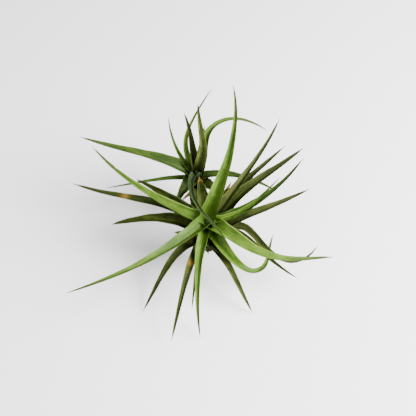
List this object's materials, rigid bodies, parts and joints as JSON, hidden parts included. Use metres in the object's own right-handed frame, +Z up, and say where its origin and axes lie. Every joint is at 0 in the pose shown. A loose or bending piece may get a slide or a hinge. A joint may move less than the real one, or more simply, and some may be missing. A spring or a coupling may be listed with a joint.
{
  "type": "air plant",
  "caption": "Stemmed air plant with long, narrow, channelled leaves radiating from a short upright stem, with a smaller pup on a side stem and a tiny side shoot.",
  "frame": {"origin": "bottom centre of the whole plant's bounding box, on the surface it rests on", "axes": "+Z up, +X along the longest spread of the leaves, from the side of the sweeping left leaf to the side of the right leaf, +Y towards the pup"},
  "size_m": [0.1937, 0.1765, 0.1184],
  "materials": {
    "stem": "matte",
    "bright_leaf": "satin",
    "olive_leaf": "satin",
    "dark_leaf": "satin",
    "grey_leaf": "satin",
    "dry_leaf": "matte"
  },
  "bodies": {
    "root": {"main_stem": "stem", "pup_stem": "stem", "bud_stem": "stem", "main_leaf_01": "bright_leaf", "main_leaf_02": "bright_leaf", "main_leaf_03": "bright_leaf", "main_leaf_04": "bright_leaf", "main_leaf_05": "bright_leaf", "main_leaf_06": "bright_leaf", "main_leaf_07": "bright_leaf", "main_leaf_08": "bright_leaf", "outer_leaf_01": "olive_leaf", "outer_leaf_02": "dark_leaf", "outer_leaf_03": "olive_leaf", "outer_leaf_04": "olive_leaf", "outer_leaf_05": "dark_leaf", "outer_leaf_06": "olive_leaf", "outer_leaf_07": "dark_leaf", "outer_leaf_08": "olive_leaf", "outer_leaf_09": "olive_leaf", "outer_leaf_10": "dark_leaf", "outer_leaf_11": "dark_leaf", "outer_leaf_12": "olive_leaf", "outer_leaf_13": "dark_leaf", "outer_leaf_14": "olive_leaf", "pup_leaf_01": "bright_leaf", "pup_leaf_02": "bright_leaf", "pup_leaf_03": "bright_leaf", "pup_leaf_04": "bright_leaf", "pup_leaf_05": "olive_leaf", "pup_leaf_06": "olive_leaf", "pup_leaf_07": "olive_leaf", "pup_leaf_08": "bright_leaf", "pup_leaf_09": "dark_leaf", "pup_leaf_10": "dark_leaf", "pup_leaf_11": "grey_leaf", "pup_leaf_12": "dark_leaf", "pup_leaf_13": "dark_leaf", "bud_leaf_01": "olive_leaf", "bud_leaf_02": "dark_leaf", "bud_leaf_03": "dark_leaf", "bud_leaf_04": "dark_leaf", "dried_leaf_01": "dry_leaf", "dried_leaf_02": "dry_leaf", "dried_leaf_03": "dry_leaf"}
  },
  "joints": []
}
